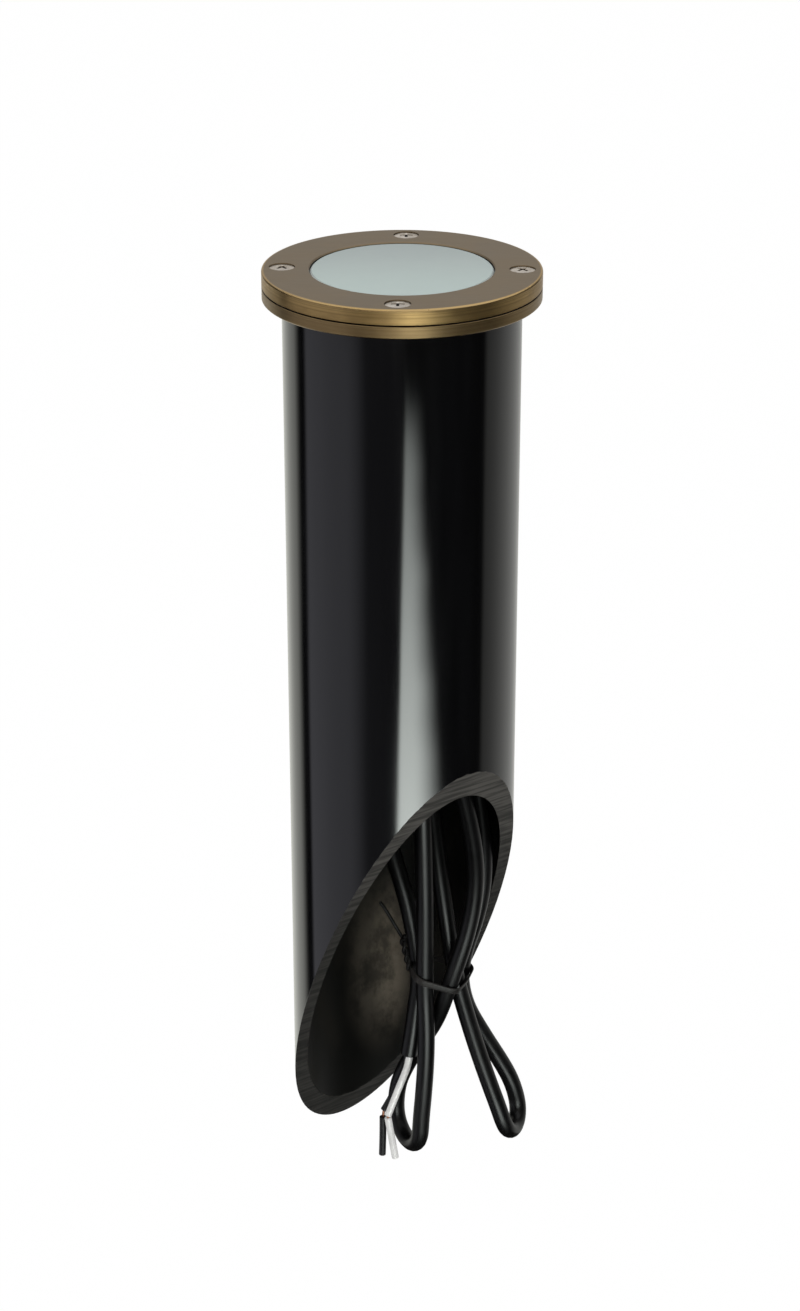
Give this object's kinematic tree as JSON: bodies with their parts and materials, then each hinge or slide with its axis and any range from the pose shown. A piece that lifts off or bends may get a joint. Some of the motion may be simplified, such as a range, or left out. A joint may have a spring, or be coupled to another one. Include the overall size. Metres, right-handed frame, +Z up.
{
  "type": "in ground well light",
  "caption": "Round brass in-ground well light with a frosted lens, set in an angle-cut black pipe sleeve, its two-core lead folded into a tied hank.",
  "frame": {"origin": "on the sleeve's axis at grade, the underside of the head's flange", "axes": "+Z up along the sleeve's axis, +X to the right and -Y towards the viewer; the sleeve's short side faces -Y and +X"},
  "size_m": [0.1035, 0.1034, 0.3892],
  "materials": {
    "sleeve_plastic": "glossy black pipe, sawn end matte grey",
    "brass_cast": "turned brass, darkened",
    "brass_cover": "antique brass, lathe-brushed, worn edges",
    "stainless": "stainless steel",
    "frosted_glass": "frosted",
    "seal_rubber": "black silicone rubber",
    "steel_plated": "zinc-plated steel",
    "lamp_glass": "pressed glass, mirrored inside",
    "clear_glass": "clear",
    "ceramic": "unglazed ceramic",
    "gland_nylon": "black nylon",
    "cable_jacket": "satin black PVC",
    "core_white": "satin white PVC",
    "core_black": "satin black PVC",
    "copper": "bare copper strands"
  },
  "bodies": {
    "sleeve": {"sleeve": "sleeve_plastic"},
    "lamp_head": {"canister": "brass_cast", "cover_ring": "brass_cover", "cover_screws": "stainless", "lens": "frosted_glass", "lens_gasket_lower": "seal_rubber", "lens_gasket_upper": "seal_rubber", "swivel_snap_ring": "stainless", "gland_body": "gland_nylon", "gland_washer": "seal_rubber", "gland_seal": "seal_rubber", "gland_nut": "gland_nylon", "gland_locknut": "gland_nylon", "inner_jacket": "cable_jacket", "inner_cores": "core_white", "cord_lead": "cable_jacket", "cord_hank": "cable_jacket", "core_white": "core_white", "core_black": "core_black", "slug_white": "core_white", "slug_black": "core_black", "bare_strands": "copper", "wire_tie": "core_black"},
    "swivel": {"swivel_ring": "steel_plated", "pivot_screws": "stainless"},
    "lamp": {"tilt_ring": "steel_plated", "lamp_snap_ring": "stainless", "lamp_reflector": "lamp_glass", "lamp_front_glass": "clear_glass", "lamp_emitter": "clear_glass", "lamp_base": "ceramic", "lamp_pins": "stainless", "lamp_socket": "ceramic", "socket_leads": "core_white"}
  },
  "joints": [
    {"name": "head_lift", "type": "slide", "parent": "sleeve", "child": "lamp_head", "axis": [0, 0, 1], "range_m": [0, 0.086]},
    {"name": "lamp_swivel", "type": "hinge", "parent": "lamp_head", "child": "swivel", "pos_m": [0, 0, -0.0095], "axis": [0, 0, 1], "range_deg": [-175, 175]},
    {"name": "lamp_tilt", "type": "hinge", "parent": "swivel", "child": "lamp", "pos_m": [0, 0, -0.0095], "axis": [1, 0, 0], "range_deg": [-15, 15]}
  ]
}
